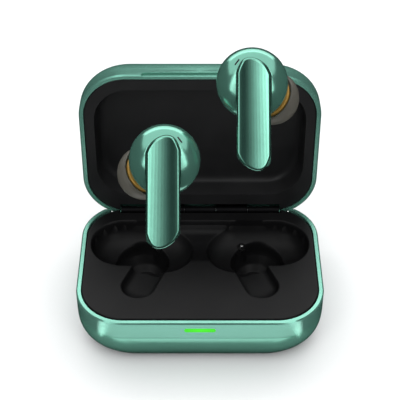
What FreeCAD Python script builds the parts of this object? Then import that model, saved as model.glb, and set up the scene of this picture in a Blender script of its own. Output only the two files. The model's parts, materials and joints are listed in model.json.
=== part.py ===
import FreeCAD, Part
import math
import os
from FreeCAD import Placement, Rotation, Vector

# Charging case for a pair of wireless stem earbuds, in millimetres.
# Origin: centre of the case's flat underside. +Z up, +Y to the hinge side, +X to the right.
# The lid stands open and both buds are held up above their pockets.

# ---- case envelope ----
CASE_W = 64.0                # overall width, X
CASE_D = 45.0                # overall depth, Y
CORNER_R = 12.6              # plan corner radius
RIM_Z = 15.0                 # height of the base's rim
BAND_Z = 9.6                 # parting line between lower shell and band
LID_GAP = 0.1                # closed gap between base and lid
LID_BAND_H = 3.6             # straight part of the lid's side
LID_DOME_H = 6.4             # domed part of the lid
EDGE_INSET = 5.5             # how far the rounded edges pull in
EDGE_POWER = 2.5             # superellipse exponent of the rounded edges
WALL = 1.2                   # side wall of shells and band
FLOOR_T = 1.0                # floor of the lower shell
RIM_CHAMFER = 0.35

# ---- hinge ----
HINGE_Y = 20.25
HINGE_Z = 14.28
OPEN_ANGLE = 95.8            # degrees between closed and the open stop
PIN_R = 0.5
KNUCKLE_R = 1.15
HINGE_HALF = 22.0            # half length of the knuckle row
KNUCKLE_GAP = 0.1
RELIEF_Z = 11.5              # top of the band behind the hinge
RELIEF_HALF = 27.2

# ---- tray ----
TRAY_TOP = 14.9
TRAY_T = 1.0
TRAY_GAP = 0.12
POCKET_WALL = 0.6
REAR_Y = 15.6                # rear edge of the pockets
POCKET_R = 8.7
HEAD_X = 9.9
TIP_X = 20.6
POCKET_INNER_X = 1.3
HEAD_DEPTH = 6.7
FRONT_BOWL_Y = 4.2
FRONT_BOWL_R = 8.4
FRONT_BOWL_DEPTH = 5.0
SCOOP_DEPTH = 3.4
SCOOP_FRONT = -0.3

# ---- seated bud ----
SEAT = Vector(-10.0, 6.0, 18.5)   # stem centre line on the face, level with the head's middle
SLANT = 22.0                      # the stem points outward by this much
STEM_DEPTH = 3.2                  # channel depth below the tray
CHANNEL_HALF = 4.5
CHANNEL_LENGTH = 24.0
CHANNEL_END = 20.4                # from the seat's reference point to the channel's far end

# ---- raised bud ----
RAISED_LEFT = Vector(-8.025, -24.516, 70.392)
RAISED_RIGHT = Vector(11.677, -13.206, 82.879)
FACE_TILT = 47.83                 # lean of the raised buds about X

# ---- bud ----
HEAD_R = 7.9
HEAD_C = Vector(0.23, 0.17, -4.95)
HEAD_HALF_T = 4.45
HEAD_POWER = 2.3
SPLIT_C = -5.0                    # seam between head shell and inner housing
BUD_WALL = 0.8
STEM_HALF_W = 3.72
STEM_T = 6.3
STEM_MID_B = -6.95                # centre of the stem's outline
PLATE_T = 1.3
TIP_DIR = Vector(-0.58, -0.33, -0.745)
NOZZLE_ORIGIN = Vector(0.23, 0.17, -4.3)
NOZZLE_R = 2.9
NOZZLE_BORE = 2.0
NOZZLE_END = 11.4
CORE_FLANGE_R = 4.95
CELL_R = 4.2
CELL_T = 3.4
CELL_C = Vector(0.23, 0.17, -5.0)
MIC_AT = Vector(3.65, 4.4, -1.45)
MIC_SLOPE = -53.0                 # degrees from the bud's own X
MIC_LEN = 1.6
MIC_W = 0.34
HEAD_CONTACT = Vector(-3.3, 4.19, -8.75)
CONTACT_R = 0.75
PIN_GAP = 0.15                    # from an extended pin to a seated contact

# ---- small parts ----
LED_W = 7.9
LED_H = 1.3
LED_Z = 12.6
PCB_Z = 7.5                       # underside of the main board
PCB_T = 0.8
POST_X = 17.0
POST_Y = -14.0
USB_Z = 4.0
BUTTON_X = 15.0
BUTTON_Z = 5.6
BUTTON_FACE = 22.2                # Y of the pairing button's face
BUTTON_R = 1.9
POGO_R = 0.5
POGO_FIT = 0.05
POGO_LEN = 2.6
SLEEVE_R = 0.9
NOTCH_HALF = 15.2                 # thumb notch in the lid's front
NOTCH_H = 1.35
NOTCH_DEPTH = 0.5

X_AXIS = Vector(1, 0, 0)
Y_AXIS = Vector(0, 1, 0)
Z_AXIS = Vector(0, 0, 1)


# ---- general helpers ----
def box(x0, x1, y0, y1, z0, z1):
    return Part.makeBox(x1 - x0, y1 - y0, z1 - z0, Vector(x0, y0, z0))


def fuse(shapes):
    return shapes[0].multiFuse(shapes[1:]).removeSplitter()


def mirror_x(shape):
    return shape.mirror(Vector(0, 0, 0), X_AXIS)


def rounded_rect(w, d, r, z):
    """Closed wire of a rounded rectangle centred on the Z axis."""
    hx = w / 2
    hy = d / 2
    k = r * (1 - math.sqrt(0.5))
    corners = ((1, -1), (1, 1), (-1, 1), (-1, -1))
    ends = []
    for sx, sy in corners:
        along_x = Vector(sx * (hx - r), sy * hy, z)
        along_y = Vector(sx * hx, sy * (hy - r), z)
        middle = Vector(sx * (hx - k), sy * (hy - k), z)
        first, last = (along_x, along_y) if sx * sy < 0 else (along_y, along_x)
        ends.append((first, middle, last))
    edges = []
    for i, (first, middle, last) in enumerate(ends):
        edges.append(Part.Arc(first, middle, last).toShape())
        edges.append(Part.LineSegment(last, ends[(i + 1) % 4][0]).toShape())
    return Part.Wire(edges)


def slab(w, d, r, z0, z1):
    return Part.Face(rounded_rect(w, d, r, z0)).extrude(Vector(0, 0, z1 - z0))


def rounded_edge_loft(w, d, r, z_side, z_end, inset):
    """Solid whose sides leave z_side upright and roll in to a flat at z_end."""
    spread = min(0.72, (d / 2 - inset - 0.2 - r) / inset)
    wires = []
    for angle in (0, 14, 28, 42, 56, 68, 78, 85, 90):
        a = math.radians(angle)
        pull = inset * (1 - abs(math.cos(a)) ** (2 / EDGE_POWER)) if angle < 90 else inset
        rise = math.sin(a) ** (2 / EDGE_POWER)
        z = z_side + (z_end - z_side) * rise
        wires.append(rounded_rect(w - 2 * pull, d - 2 * pull, r + spread * pull, z))
    return Part.makeLoft(wires, True, False)


def lower_body(grow):
    """The base's outer form below the band, grown or shrunk sideways."""
    floor = 0 if grow == 0 else FLOOR_T
    w = CASE_W + 2 * grow
    d = CASE_D + 2 * grow
    return rounded_edge_loft(w, d, CORNER_R + grow, BAND_Z, floor, EDGE_INSET)


def revolve(points, smooth=False):
    """Solid turned about the Z axis from (radius, height) points."""
    vertices = [Vector(r, 0, h) for r, h in points]
    if smooth:
        curve = Part.BSplineCurve()
        curve.interpolate(vertices)
        edges = [curve.toShape()]
        edges.append(Part.LineSegment(vertices[-1], vertices[0]).toShape())
        wire = Part.Wire(edges)
    else:
        wire = Part.makePolygon(vertices + [vertices[0]])
    return Part.Face(wire).revolve(Vector(0, 0, 0), Z_AXIS, 360)


def pebble(radius, half, power):
    """Superellipse of revolution about Z, centred on the origin."""
    points = []
    for angle in range(-90, 91, 15):
        a = math.radians(angle)
        r = 0.0 if abs(angle) == 90 else radius * math.cos(a) ** (2 / power)
        h = half * math.copysign(abs(math.sin(a)) ** (2 / power), a)
        points.append((r, h))
    return revolve(points, smooth=True)


def cylinder(r, h, at, axis=Z_AXIS):
    return Part.makeCylinder(r, h, at, axis)


# ---- pockets of the tray ----
def basin(length, width, corner, depth, grow):
    """Smooth basin with a rounded-rectangle rim, centred on the Z axis, open upward."""
    half = width / 2 + grow
    w = length + 2 * grow
    r = corner + grow
    wires = [rounded_rect(w, 2 * half, r, RIM_Z + 1)]
    for angle in (0, 20, 40, 57, 70, 79):
        a = math.radians(angle)
        pull = half * (1 - math.cos(a) ** (2 / EDGE_POWER))
        z = RIM_Z - (depth + grow) * math.sin(a) ** (2 / EDGE_POWER)
        wires.append(rounded_rect(w - 2 * pull, 2 * (half - pull), max(r - pull, 0.4), z))
    return Part.makeLoft(wires, True, False)


def bud_basin(grow):
    """Wide oval over the head and the tip of a seated bud."""
    length = TIP_X + POCKET_R - POCKET_INNER_X
    form = basin(length, 2 * POCKET_R, POCKET_R - 0.15, HEAD_DEPTH, grow)
    form.translate(Vector(-POCKET_INNER_X - length / 2, REAR_Y - POCKET_R, 0))
    return form


def tip_well(grow):
    """Deep well for the ear tip, inside the oval."""
    levels = (
        (15.6, 5.4, 7.3, RIM_Z + 1),
        (15.6, 5.4, 7.3, 9.4),
        (15.4, 5.3, 6.7, 5.6),
        (15.0, 5.1, 5.2, 3.2),
        (14.9, 5.0, 3.6, 2.05),
    )
    wires = []
    for i, (x, y, r, z) in enumerate(levels):
        low = grow if i == len(levels) - 1 else 0
        ring = Part.Circle(Vector(-x, y, z - low), Z_AXIS, r + grow)
        wires.append(Part.Wire([ring.toShape()]))
    return Part.makeLoft(wires, True, False)


def head_basin(grow):
    """Round front lobe under the bud's head."""
    size = 2 * FRONT_BOWL_R
    form = basin(size + 0.1, size, FRONT_BOWL_R - 0.1, FRONT_BOWL_DEPTH, grow)
    form.translate(Vector(-HEAD_X, FRONT_BOWL_Y, 0))
    return form


def stem_channel(grow):
    """Half-pipe for the stem, slanting outward to the front."""
    form = basin(CHANNEL_LENGTH, 2 * CHANNEL_HALF, CHANNEL_HALF - 0.1, STEM_DEPTH, grow)
    lean = math.radians(SLANT)
    middle = CHANNEL_END - CHANNEL_LENGTH / 2
    at = Vector(SEAT.x - math.sin(lean) * middle, SEAT.y - math.cos(lean) * middle, 0)
    form.Placement = Placement(at, Rotation(Z_AXIS, 90 - SLANT))
    return form


def centre_scoop(grow):
    """Shallow finger scoop that joins the two ovals."""
    form = basin(2 * HEAD_X, REAR_Y - SCOOP_FRONT - 0.1, 2.2, SCOOP_DEPTH, grow)
    form.translate(Vector(0, (REAR_Y + SCOOP_FRONT - 0.1) / 2, 0))
    return form


def pockets(grow):
    """Every hollow of the tray, as separate overlapping solids."""
    left = [bud_basin(grow), tip_well(grow), head_basin(grow), stem_channel(grow)]
    return left + [mirror_x(solid) for solid in left] + [centre_scoop(grow)]


def cut_all(shape, cutters):
    for cutter in cutters:
        shape = shape.cut(cutter)
    return shape


def both_sides(shape):
    return Part.makeCompound([shape, mirror_x(shape)])


def seated(point):
    """Place of a point of the left bud when it lies in its pocket."""
    return SEAT + Rotation(Z_AXIS, -SLANT).multVec(point)


# ---- base ----
def hinge_zone(half, y0, z0):
    return box(-half, half, y0, CASE_D, z0, RIM_Z + 2)


def make_base_shell():
    shell = lower_body(0).cut(lower_body(-WALL))
    usb_mouth = box(-4.7, 4.7, CASE_D / 2 - 6, CASE_D, USB_Z - 1.75, USB_Z + 1.75)
    usb_edges = [e for e in usb_mouth.Edges if abs(e.tangentAt(e.FirstParameter).y) > 0.99]
    shell = shell.cut(usb_mouth.makeFillet(1.6, usb_edges))
    button_hole = cylinder(BUTTON_R + 0.1, 6, Vector(BUTTON_X, CASE_D / 2 - 4, BUTTON_Z), Y_AXIS)
    shell = shell.cut(button_hole)
    posts = []
    for side in (-1, 1):
        foot = Vector(side * POST_X, POST_Y, FLOOR_T - 0.4)
        post = cylinder(1.5, PCB_Z - foot.z, foot)
        posts.append(post.cut(cylinder(0.5, 4, Vector(foot.x, foot.y, PCB_Z - 4))))
    return fuse([shell] + posts)


def make_base_band():
    outer = slab(CASE_W, CASE_D, CORNER_R, BAND_Z, RIM_Z)
    top_edges = [e for e in outer.Edges if abs(e.BoundBox.ZMin - RIM_Z) < 0.01]
    outer = outer.makeChamfer(RIM_CHAMFER, top_edges)
    low_edges = [e for e in outer.Edges if abs(e.BoundBox.ZMax - BAND_Z) < 0.01]
    outer = outer.makeChamfer(0.12, low_edges)
    inner = slab(CASE_W - 2 * WALL, CASE_D - 2 * WALL, CORNER_R - WALL, BAND_Z - 1, RIM_Z + 1)
    band = outer.cut(inner).cut(hinge_zone(RELIEF_HALF, HINGE_Y - 0.25, RELIEF_Z))
    return band.cut(led_bar(0.02))


def led_bar(grow):
    bar = box(-LED_W / 2 - grow, LED_W / 2 + grow, -CASE_D / 2 - 0.02, -CASE_D / 2 + WALL + 0.4,
              LED_Z - LED_H / 2 - grow, LED_Z + LED_H / 2 + grow)
    edges = [e for e in bar.Edges if abs(e.tangentAt(e.FirstParameter).y) > 0.99]
    return bar.makeFillet(0.6, edges)


def make_inner_tray():
    w = CASE_W - 2 * (WALL + TRAY_GAP)
    d = CASE_D - 2 * (WALL + TRAY_GAP)
    r = CORNER_R - WALL - TRAY_GAP
    plate = slab(w, d, r, TRAY_TOP - TRAY_T, TRAY_TOP)
    top_edges = [e for e in plate.Edges if abs(e.BoundBox.ZMin - TRAY_TOP) < 0.01]
    plate = plate.makeFillet(0.3, top_edges)
    skirt = slab(w, d, r, TRAY_TOP - 3.2, TRAY_TOP - TRAY_T / 2)
    skirt = skirt.cut(slab(w - 1.6, d - 1.6, r - 0.8, TRAY_TOP - 4, TRAY_TOP))
    below_top = box(-40, 40, -30, 30, 0, TRAY_TOP - 0.4)
    walls = [solid.common(below_top) for solid in pockets(POCKET_WALL)]
    tray = cut_all(fuse([plate, skirt] + walls), pockets(0))
    tray = tray.cut(hinge_zone(HINGE_HALF + 0.3, HINGE_Y - KNUCKLE_R - 0.25, 12.0))
    tray = tray.cut(hinge_zone(RELIEF_HALF, HINGE_Y - 0.25, RELIEF_Z))
    for at in pin_places():
        tray = tray.cut(cylinder(SLEEVE_R, 6, at - Z_AXIS * 5))
    return tray.cut(box(-LED_W, LED_W, -CASE_D / 2, -CASE_D / 2 + 3.6, 11, 13.9))


def pin_places():
    """Tips of the two charging pins, standing clear of a seated bud's contact."""
    at = seated(HEAD_CONTACT) - Z_AXIS * PIN_GAP
    return [at, Vector(-at.x, at.y, at.z)]


def make_pin_sleeves():
    sleeves = []
    for at in pin_places():
        foot = at - Z_AXIS * (POGO_LEN + 0.9)
        sleeve = cylinder(SLEEVE_R, POGO_LEN, foot)
        bore = cylinder(POGO_R + POGO_FIT, POGO_LEN + 0.2, foot + Z_AXIS * 0.3)
        sleeves.append(sleeve.cut(bore))
    return Part.makeCompound(sleeves)


def make_charging_pin(side):
    profile = [(0, -POGO_LEN), (POGO_R, -POGO_LEN), (POGO_R, -0.3), (POGO_R - 0.08, -0.12)]
    pin = revolve(profile + [(POGO_R - 0.25, 0), (0, 0)])
    at = pin_places()[0]
    pin.translate(Vector(side * abs(at.x), at.y, at.z))
    return pin


def make_status_led():
    return box(-1.6, 1.6, -CASE_D / 2 + 1.7, -CASE_D / 2 + 2.5, LED_Z - 0.5, LED_Z + 0.5)


def make_led_board():
    return box(-5, 5, -CASE_D / 2 + 2.5, -CASE_D / 2 + 3.1, LED_Z - 1.4, LED_Z + 1.1)


def make_main_pcb():
    top = PCB_Z + PCB_T
    board = box(-19, 19, -17.5, -5.6, PCB_Z, top)
    chips = [box(-11, -5, -14, -8.5, top, top + 0.9), box(-3, 2.5, -15, -10, top, top + 0.8)]
    chips += [box(5, 9, -13, -9, top, top + 1.0), box(-12.5, -11.6, -16, -14.4, top, top + 0.5)]
    holes = [cylinder(0.65, 3, Vector(side * POST_X, POST_Y, PCB_Z - 1)) for side in (-1, 1)]
    return fuse([board] + chips).cut(Part.makeCompound(holes))


def make_pcb_screws():
    screws = []
    for side in (-1, 1):
        at = Vector(side * POST_X, POST_Y, PCB_Z + PCB_T)
        head = cylinder(1.1, 0.6, at)
        shank = cylinder(0.45, 3.9, at - Z_AXIS * 3.9)
        slot = box(at.x - 0.75, at.x + 0.75, at.y - 0.15, at.y + 0.15, at.z + 0.3, at.z + 1)
        cross = box(at.x - 0.15, at.x + 0.15, at.y - 0.75, at.y + 0.75, at.z + 0.3, at.z + 1)
        screws.append(head.fuse(shank).cut(slot).cut(cross).removeSplitter())
    return Part.makeCompound(screws)


def make_case_battery():
    cell = box(-7.2, 7.2, -16.8, 11.0, 1.3, 7.3)
    return cell.makeFillet(0.8, [e for e in cell.Edges if e.Length > 20])


def make_usb_shell():
    y0 = 14.2
    length = 7.3
    outer = box(-4.5, 4.5, y0, y0 + length, USB_Z - 1.6, USB_Z + 1.6)
    inner = box(-4.2, 4.2, y0 + 0.8, y0 + length + 1, USB_Z - 1.3, USB_Z + 1.3)
    parts = []
    for solid, radius in ((outer, 1.5), (inner, 1.2)):
        edges = [e for e in solid.Edges if abs(e.tangentAt(e.FirstParameter).y) > 0.99]
        parts.append(solid.makeFillet(radius, edges))
    return parts[0].cut(parts[1])


def make_usb_tongue():
    return box(-3.3, 3.3, 15.0, 20.4, USB_Z - 0.35, USB_Z + 0.35)


def make_usb_board():
    return box(-6.0, 6.0, 11.4, 20.2, 1.3, 2.3).common(lower_body(-WALL - 0.1))


def make_flex_cable():
    strip = box(-7.8, -7.3, -10.0, 12.6, 1.6, 2.4)
    riser = box(-7.8, -7.3, -10.0, -8.0, 1.6, PCB_Z)
    foot = box(-7.8, -6.1, 11.6, 12.6, 1.6, 2.2)
    return fuse([strip, riser, foot])


def make_tray_magnets():
    at = seated(Vector(0, -12.6, 0))
    disc = cylinder(2.0, 1.5, Vector(at.x, at.y, 9.3))
    return both_sides(disc)


def make_catch_magnets():
    bar = box(-14.5, -8.5, -CASE_D / 2 + 2.3, -CASE_D / 2 + 4.1, 11.6, 13.7)
    return both_sides(bar)


def make_hall_sensor():
    return box(5.8, 7.8, -CASE_D / 2 + 2.3, -CASE_D / 2 + 3.1, 12.6, 13.7)


def knuckles(first, count):
    """Every second knuckle of the row, as rings round the hinge axis."""
    pitch = 2 * HINGE_HALF / 5
    rings = []
    for i in range(first, first + 2 * count, 2):
        x0 = -HINGE_HALF + i * pitch + KNUCKLE_GAP / 2
        rings.append((x0, pitch - KNUCKLE_GAP))
    return rings


def make_base_hinge_leaf():
    parts = []
    for x0, length in knuckles(0, 3):
        parts.append(cylinder(KNUCKLE_R, length, Vector(x0, HINGE_Y, HINGE_Z), X_AXIS))
        parts.append(box(x0, x0 + length, HINGE_Y - KNUCKLE_R, HINGE_Y - 0.45, 12.1, HINGE_Z))
    parts.append(box(-HINGE_HALF, HINGE_HALF, HINGE_Y - KNUCKLE_R, HINGE_Y - 0.45, 8.2, 12.6))
    leaf = fuse(parts)
    return leaf.cut(cylinder(PIN_R, 60, Vector(-30, HINGE_Y, HINGE_Z), X_AXIS))


def make_hinge_pin():
    pin = cylinder(PIN_R, 2 * HINGE_HALF, Vector(-HINGE_HALF, HINGE_Y, HINGE_Z), X_AXIS)
    return pin.makeChamfer(0.15, [pin.Edges[0], pin.Edges[2]])


def make_hinge_mount():
    """Moulded bracket that carries the base's hinge leaf from the lower shell."""
    bracket = box(-18.5, 18.5, HINGE_Y - KNUCKLE_R - 1.4, HINGE_Y - KNUCKLE_R, 7.6, 11.6)
    return bracket.common(lower_body(-WALL - 0.02).fuse(slab(60, 42.4, 11, BAND_Z, RIM_Z)))


def make_pairing_button():
    cap = cylinder(BUTTON_R, 2.3, Vector(BUTTON_X, BUTTON_FACE - 2.3, BUTTON_Z), Y_AXIS)
    rim = [e for e in cap.Edges if abs(e.BoundBox.YMin - BUTTON_FACE) < 0.01]
    return cap.makeFillet(0.25, rim)


def make_tact_switch():
    y_back = BUTTON_FACE - 4.5
    body = box(BUTTON_X - 1.6, BUTTON_X + 1.6, y_back, y_back + 1.3, BUTTON_Z - 1.6, BUTTON_Z + 1.6)
    dome = cylinder(0.8, 0.4, Vector(BUTTON_X, y_back + 1.3, BUTTON_Z), Y_AXIS)
    return body.fuse(dome).removeSplitter()


def make_button_board():
    y_back = BUTTON_FACE - 5.15
    board = box(BUTTON_X - 3.2, BUTTON_X + 3.2, y_back, y_back + 0.6, BUTTON_Z - 2.6, BUTTON_Z + 2.0)
    return cut_all(board, pockets(POCKET_WALL + 0.05))


# ---- lid, built closed and then swung open ----
def lid_form(grow, top_drop):
    """Lid's outer form, or the same form shrunk for its inside."""
    z0 = RIM_Z + LID_GAP
    w = CASE_W + 2 * grow
    d = CASE_D + 2 * grow
    r = CORNER_R + grow
    side = slab(w, d, r, z0 if grow == 0 else z0 - 1, z0 + LID_BAND_H)
    top = z0 + LID_BAND_H + LID_DOME_H - top_drop
    dome = rounded_edge_loft(w, d, r, z0 + LID_BAND_H, top, EDGE_INSET + 1.0)
    return side.fuse(dome).removeSplitter()


def make_lid_shell():
    shell = lid_form(0, 0)
    z0 = RIM_Z + LID_GAP
    rim = [e for e in shell.Edges if abs(e.BoundBox.ZMax - z0) < 0.01]
    shell = shell.makeChamfer(RIM_CHAMFER, rim).cut(lid_form(-WALL, 1.1))
    front = -CASE_D / 2
    notch = box(-NOTCH_HALF, NOTCH_HALF, front - 1, front + NOTCH_DEPTH, z0 - 1, z0 + NOTCH_H)
    ends = [e for e in notch.Edges if abs(e.tangentAt(e.FirstParameter).y) > 0.99]
    shell = shell.cut(notch.makeFillet(1.0, [e for e in ends if e.BoundBox.ZMin > z0]))
    start = Vector(-HINGE_HALF - 0.3, HINGE_Y, HINGE_Z)
    sweep = cylinder(KNUCKLE_R + 0.2, 2 * HINGE_HALF + 0.6, start, X_AXIS)
    return shell.cut(sweep)


def make_lid_liner():
    z0 = RIM_Z + LID_GAP + 0.1
    inset = WALL + TRAY_GAP
    w = CASE_W - 2 * inset
    d = CASE_D - 2 * inset
    r = CORNER_R - inset
    flange = slab(w, d, r, z0, z0 + 0.9)
    low = [e for e in flange.Edges if abs(e.BoundBox.ZMax - z0) < 0.01]
    flange = flange.makeFillet(0.3, low)
    cup = recess_form(0.7, 6.9).common(box(-40, 40, -30, 30, z0 + 0.4, 30))
    liner = fuse([flange, cup]).cut(recess_form(0, 6.2))
    knuckle_room = hinge_zone(HINGE_HALF + 0.3, HINGE_Y - KNUCKLE_R - 0.3, 14.0)
    return liner.cut(knuckle_room)


def recess_form(grow, height):
    """The lid's hollow over the seated buds, narrowing a little as it goes up."""
    z0 = RIM_Z + LID_GAP - 0.5
    y_shift = -1.3
    low = rounded_rect(56.4 + 2 * grow, 33.8 + 2 * grow, 9.6 + grow, z0)
    high = rounded_rect(53.6 + 2 * grow, 31.0 + 2 * grow, 8.4 + grow, z0 + height)
    form = Part.makeLoft([low, high], True, True)
    form = form.makeFillet(2.0, [e for e in form.Edges if abs(e.BoundBox.ZMin - z0 - height) < 0.01])
    form.translate(Vector(0, y_shift, 0))
    return form


def make_lid_hinge_leaf():
    parts = []
    for x0, length in knuckles(1, 2):
        parts.append(cylinder(KNUCKLE_R, length, Vector(x0, HINGE_Y, HINGE_Z), X_AXIS))
        parts.append(box(x0, x0 + length, HINGE_Y + 0.1, HINGE_Y + 0.95, HINGE_Z, 20.0))
    leaf = fuse(parts)
    return leaf.cut(cylinder(PIN_R + 0.04, 60, Vector(-30, HINGE_Y, HINGE_Z), X_AXIS))


def make_lid_magnets():
    bar = box(-14.5, -8.5, -CASE_D / 2 + 1.7, -CASE_D / 2 + 3.3, 16.3, 18.3)
    return both_sides(bar)


def swing_open(shape):
    opened = shape.copy()
    opened.rotate(Vector(0, HINGE_Y, HINGE_Z), X_AXIS, -OPEN_ANGLE)
    return opened


# ---- bud: local X to the wearer's rear edge, Y up the stem, Z out of the face ----
def head_form(grow):
    form = pebble(HEAD_R + grow, HEAD_HALF_T + grow, HEAD_POWER)
    form.translate(HEAD_C)
    return form


def stem_outline(shrink):
    """Pill whose two ends lean the same way, the same shape turned half round."""
    half = STEM_HALF_W - shrink
    top = [Vector(-half, 1.4, 0), Vector(-2.65 + shrink, 3.5 - shrink, 0)]
    top += [Vector(-0.9, 4.85 - shrink, 0), Vector(1.0, 5.3 - shrink, 0)]
    top += [Vector(2.6 - shrink, 4.5 - shrink, 0), Vector(half, 2.0, 0)]
    ends = []
    for sign in (1, -1):
        points = [Vector(sign * p.x, STEM_MID_B + sign * (p.y - STEM_MID_B), 0) for p in top]
        curve = Part.BSplineCurve()
        rise = Vector(0, sign, 0)
        curve.interpolate(Points=points, InitialTangent=rise, FinalTangent=-rise)
        ends.append(curve)
    sides = [Part.LineSegment(ends[0].EndPoint, ends[1].StartPoint)]
    sides.append(Part.LineSegment(ends[1].EndPoint, ends[0].StartPoint))
    order = (ends[0], sides[0], ends[1], sides[1])
    return Part.Wire([c.toShape() for c in order])


def stem_form():
    block = Part.Face(stem_outline(0)).extrude(Vector(0, 0, -STEM_T))
    back = [e for e in block.Edges if e.BoundBox.ZMax < -STEM_T + 0.01]
    front = [e for e in block.Edges if e.BoundBox.ZMin > -0.01]
    return block.makeFillet(2.6, back).makeFillet(0.45, front)


def above(c):
    return box(-30, 30, -40, 30, c, 20)


def below(c):
    return box(-30, 30, -40, 30, -40, c)


def aim(shape):
    """Carry a shape from the Z axis onto the nozzle's axis."""
    aimed = shape.copy()
    aimed.Placement = Placement(NOZZLE_ORIGIN, Rotation(Z_AXIS, TIP_DIR)).multiply(aimed.Placement)
    return aimed


def make_faceplate():
    return stem_form().common(above(-PLATE_T))


def make_stem_housing():
    shell = stem_form().common(below(-PLATE_T)).cut(head_form(0)).common(box(-9, 9, -30, -3, -20, 5))
    hollow = Part.Face(stem_outline(0.8)).extrude(Vector(0, 0, -STEM_T + 0.8))
    edges = [e for e in hollow.Edges if e.BoundBox.ZMax < -STEM_T + 0.9]
    return shell.cut(hollow.makeFillet(1.8, edges))


def make_head_shell():
    shell = head_form(0).cut(head_form(-BUD_WALL)).common(above(SPLIT_C))
    return shell.cut(make_faceplate()).cut(mic_slot(MIC_AT.z - 2, MIC_AT.z + 2, 0))


def make_inner_housing():
    cone = Part.makeCone(4.4, 3.7, 3.7, Vector(0, 0, 3.2))
    neck = cylinder(NOZZLE_R, NOZZLE_END - 6.8, Vector(0, 0, 6.8))
    nose = aim(cone.fuse(neck))
    shell = head_form(0).common(below(SPLIT_C)).fuse(nose)
    shell = shell.cut(head_form(-BUD_WALL))
    bore = cylinder(NOZZLE_BORE, 9, Vector(0, 0, 4))
    chamber = Part.makeCone(3.3, 2.9, 3.3, Vector(0, 0, 3.5))
    shell = shell.cut(aim(bore.fuse(chamber))).common(below(SPLIT_C))
    return shell.cut(contact_disc(1.2)).removeSplitter()


def contact_disc(height):
    return cylinder(CONTACT_R, height, HEAD_CONTACT)


def make_contact():
    return contact_disc(1.0)


def make_nozzle_mesh():
    return aim(cylinder(NOZZLE_BORE, 0.25, Vector(0, 0, NOZZLE_END - 0.5)))


def make_tip_core():
    sleeve_r = NOZZLE_R + 0.65
    points = [(NOZZLE_R, 7.1), (CORE_FLANGE_R, 7.1), (CORE_FLANGE_R, 7.8), (sleeve_r, 8.2)]
    points += [(sleeve_r, 12.4), (NOZZLE_R, 12.4)]
    return aim(revolve(points))


def make_ear_tip():
    """Mushroom flange of thin silicone, joined to the core at its nose."""
    core_r = NOZZLE_R + 0.65
    outer = [(2.3, 13.5), (3.5, 13.1), (4.7, 12.1), (5.6, 10.6), (6.05, 9.0), (6.05, 8.1), (5.8, 7.3)]
    inner = [(5.35, 7.35), (5.55, 8.2), (5.5, 9.0), (5.1, 10.4), (4.3, 11.6), (core_r, 12.3)]
    nose = [(core_r, 12.4), (2.3, 12.4)]
    return aim(revolve(outer + inner + nose))


def make_driver():
    cup = cylinder(2.5, 1.4, Vector(0, 0, 5.2))
    magnet = cylinder(1.5, 0.5, Vector(0, 0, 4.7))
    return aim(cup.fuse(magnet).removeSplitter())


def make_bud_pcb():
    board = box(-2.4, 2.4, -15.6, -8.2, -3.0, -2.3)
    chips = [box(-1.5, 1.5, -13.5, -10.5, -3.8, -3.0), box(-1.0, 1.0, -9.9, -8.7, -2.3, -1.8)]
    return fuse([board] + chips)


def make_bud_magnet():
    return cylinder(1.5, 1.2, Vector(0, -11.0, -5.4))


def mic_slot(c0, c1, grow):
    """Short slot for the microphone beside the plate's upper end."""
    half = MIC_LEN / 2 + grow
    slot = box(-half, half, -MIC_W / 2 - grow, MIC_W / 2 + grow, c0, c1)
    ends = [e for e in slot.Edges if abs(e.tangentAt(e.FirstParameter).z) > 0.99]
    slot = slot.makeFillet(0.44 * MIC_W, ends)
    slot.Placement = Placement(Vector(MIC_AT.x, MIC_AT.y, 0), Rotation(Z_AXIS, MIC_SLOPE))
    return slot


def make_mic_mesh():
    return mic_slot(MIC_AT.z - 0.6, MIC_AT.z - 0.35, -0.01)


def make_coin_cell():
    cell = cylinder(CELL_R, CELL_T, CELL_C - Z_AXIS * (CELL_T / 2))
    return cell.makeFillet(0.3, [e for e in cell.Edges if len(e.Vertexes) == 1])


def raise_bud(shape, side):
    """Place one bud's shape in its raised pose; side is -1 for left, 1 for right."""
    placed = shape.copy() if side < 0 else mirror_x(shape)
    at = RAISED_LEFT if side < 0 else RAISED_RIGHT
    lift = Placement(at, Rotation(X_AXIS, FACE_TILT))
    placed.Placement = lift.multiply(placed.Placement)
    return placed


BASE_PARTS = {
    "base_shell": make_base_shell,
    "base_band": make_base_band,
    "inner_tray": make_inner_tray,
    "led_light_bar": lambda: led_bar(0),
    "status_led": make_status_led,
    "led_board": make_led_board,
    "main_pcb": make_main_pcb,
    "pcb_screws": make_pcb_screws,
    "case_battery": make_case_battery,
    "usb_c_shell": make_usb_shell,
    "usb_c_tongue": make_usb_tongue,
    "usb_board": make_usb_board,
    "flex_cable": make_flex_cable,
    "pin_sleeves": make_pin_sleeves,
    "left_charging_pin": lambda: make_charging_pin(-1),
    "right_charging_pin": lambda: make_charging_pin(1),
    "tray_magnets": make_tray_magnets,
    "catch_magnets": make_catch_magnets,
    "hall_sensor": make_hall_sensor,
    "base_hinge_leaf": make_base_hinge_leaf,
    "hinge_bracket": make_hinge_mount,
    "hinge_pin": make_hinge_pin,
    "pairing_button": make_pairing_button,
    "tact_switch": make_tact_switch,
    "button_board": make_button_board,
}
LID_PARTS = {
    "lid_shell": make_lid_shell,
    "lid_liner": make_lid_liner,
    "lid_hinge_leaf": make_lid_hinge_leaf,
    "lid_magnets": make_lid_magnets,
}
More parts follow.
